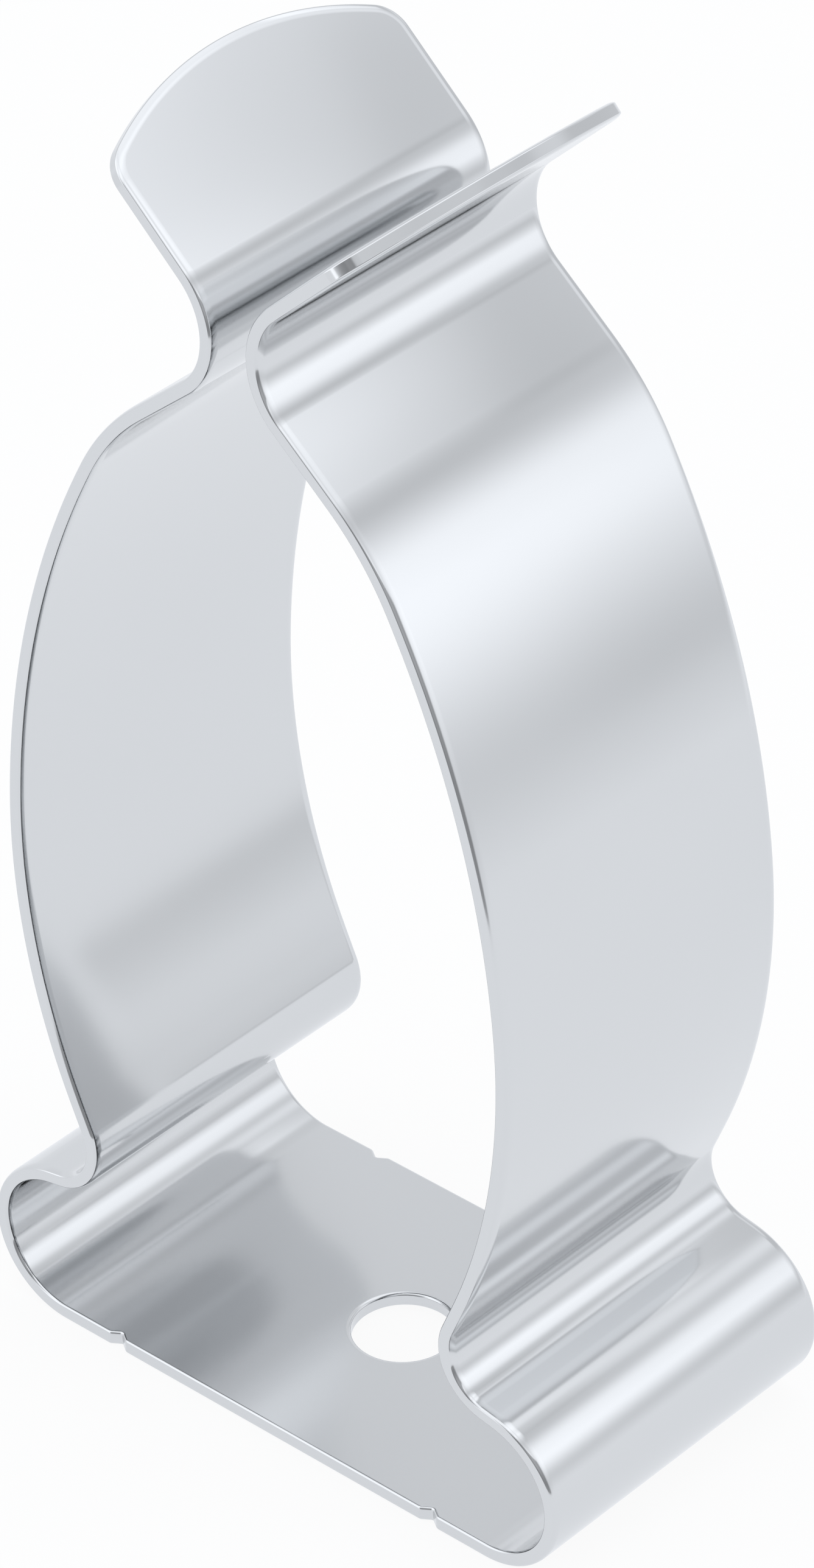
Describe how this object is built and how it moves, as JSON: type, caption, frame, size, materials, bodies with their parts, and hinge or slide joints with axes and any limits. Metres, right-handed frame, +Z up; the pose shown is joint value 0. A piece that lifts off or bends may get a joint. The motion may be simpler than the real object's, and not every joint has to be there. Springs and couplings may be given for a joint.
{
  "type": "emc shield clamp",
  "caption": "Folded spring-steel clip whose two curved arms close round a shielded cable and press on its screen, with a flat foot for one screw and flared tabs.",
  "frame": {"origin": "centre of the screw hole on the underside of the flat base", "axes": "+Z up from the base towards the mouth, +X along the strip's base, +Y across the strip's width"},
  "size_m": [0.0304, 0.016, 0.0579],
  "materials": {
    "spring_steel": "smooth satin bright steel strip"
  },
  "bodies": {
    "root": {"shield_clamp": "spring_steel"}
  },
  "joints": []
}
